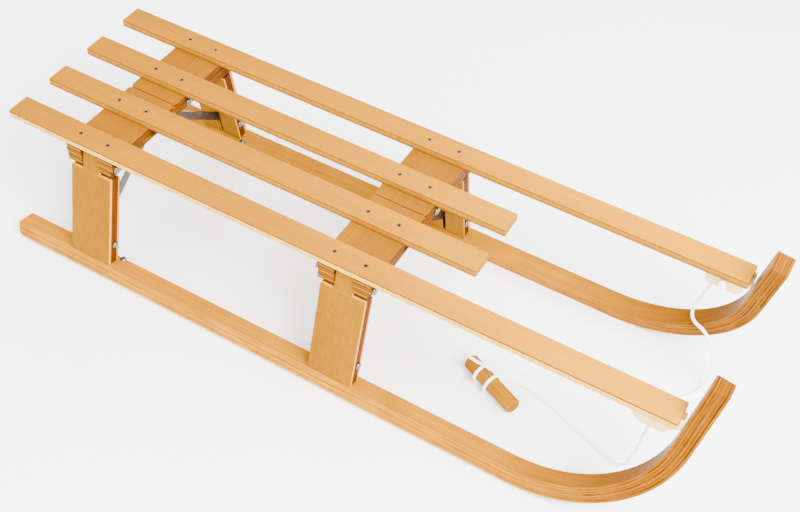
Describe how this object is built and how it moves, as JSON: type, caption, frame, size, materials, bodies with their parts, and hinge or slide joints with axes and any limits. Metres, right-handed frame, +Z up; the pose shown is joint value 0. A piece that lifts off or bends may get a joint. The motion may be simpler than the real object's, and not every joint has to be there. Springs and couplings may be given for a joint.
{
  "type": "toboggan",
  "caption": "Wooden toboggan: long slats on cross beams, splayed plywood legs on upturned laminated runners, crossed steel stays and a tow rope with handle.",
  "frame": {"origin": "ground level under the middle of the sledge", "axes": "+X towards the upturned runner tips, +Y to the left side, +Z up"},
  "size_m": [1.1024, 0.389, 0.296],
  "materials": {
    "plywood_slat": "clear varnish, satin",
    "plywood_frame": "clear varnish, satin, ply edges showing",
    "laminated_runner": "clear varnish, bent laminate with visible glue lines",
    "turned_wood": "turned, lightly varnished",
    "zinc_steel": "bright zinc plate",
    "steel_strip": "zinc-plated strip, slightly dull",
    "cream_plastic": "moulded, cream",
    "white_rope": "braided polyester"
  },
  "bodies": {
    "seat": {"slat_outer_right": "plywood_slat", "slat_outer_left": "plywood_slat", "slat_inner_right": "plywood_slat", "slat_inner_left": "plywood_slat", "screws_outer_right": "zinc_steel", "screws_outer_left": "zinc_steel", "screws_inner_right": "zinc_steel", "screws_inner_left": "zinc_steel", "beam_rear_right": "plywood_frame", "hinge_block_rear_right": "plywood_frame", "hinge_bolt_rear_right": "zinc_steel", "anchor_bolt_rear_right": "zinc_steel", "beam_rear_left": "plywood_frame", "hinge_block_rear_left": "plywood_frame", "hinge_bolt_rear_left": "zinc_steel", "anchor_bolt_rear_left": "zinc_steel", "beam_front_right": "plywood_frame", "hinge_block_front_right": "plywood_frame", "hinge_bolt_front_right": "zinc_steel", "anchor_bolt_front_right": "zinc_steel", "beam_front_left": "plywood_frame", "hinge_block_front_left": "plywood_frame", "hinge_bolt_front_left": "zinc_steel", "anchor_bolt_front_left": "zinc_steel", "clip_right": "cream_plastic", "clip_left": "cream_plastic", "rope_knot_right": "white_rope", "rope_knot_left": "white_rope", "rope_left_upper": "white_rope", "rope_right": "white_rope"},
    "right_side": {"runner_right": "laminated_runner", "leg_rear_right": "plywood_frame", "leg_front_right": "plywood_frame", "foot_bolt_rear_right": "zinc_steel", "foot_bolt_front_right": "zinc_steel"},
    "left_side": {"runner_left": "laminated_runner", "leg_rear_left": "plywood_frame", "leg_front_left": "plywood_frame", "foot_bolt_rear_left": "zinc_steel", "foot_bolt_front_left": "zinc_steel", "rope_left_lower": "white_rope", "rope_hitch": "white_rope", "tow_handle": "turned_wood"},
    "right_stays": {"stay_rear_right": "steel_strip", "stay_front_right": "steel_strip", "stay_bolt_rear_right": "zinc_steel", "stay_bolt_front_right": "zinc_steel"},
    "left_stays": {"stay_rear_left": "steel_strip", "stay_front_left": "steel_strip", "stay_bolt_rear_left": "zinc_steel", "stay_bolt_front_left": "zinc_steel"}
  },
  "joints": [
    {"name": "right_side_fold", "type": "hinge", "parent": "seat", "child": "right_side", "pos_m": [0, -0.142, 0.204], "axis": [1, 0, 0], "range_deg": [0, 17]},
    {"name": "left_side_fold", "type": "hinge", "parent": "seat", "child": "left_side", "pos_m": [0, 0.142, 0.204], "axis": [-1, 0, 0], "range_deg": [0, 17]},
    {"name": "right_stays_swing", "type": "hinge", "parent": "right_side", "child": "right_stays", "pos_m": [0, -0.16688, 0.0604], "axis": [1, 0, 0], "range_deg": [-16.41, 0]},
    {"name": "left_stays_swing", "type": "hinge", "parent": "left_side", "child": "left_stays", "pos_m": [0, 0.16688, 0.0604], "axis": [-1, 0, 0], "range_deg": [-16.41, 0]}
  ],
  "couplings": [
    {"joint": "right_stays_swing", "follows": "right_side_fold", "ratio": -0.965},
    {"joint": "left_stays_swing", "follows": "left_side_fold", "ratio": -0.965}
  ]
}
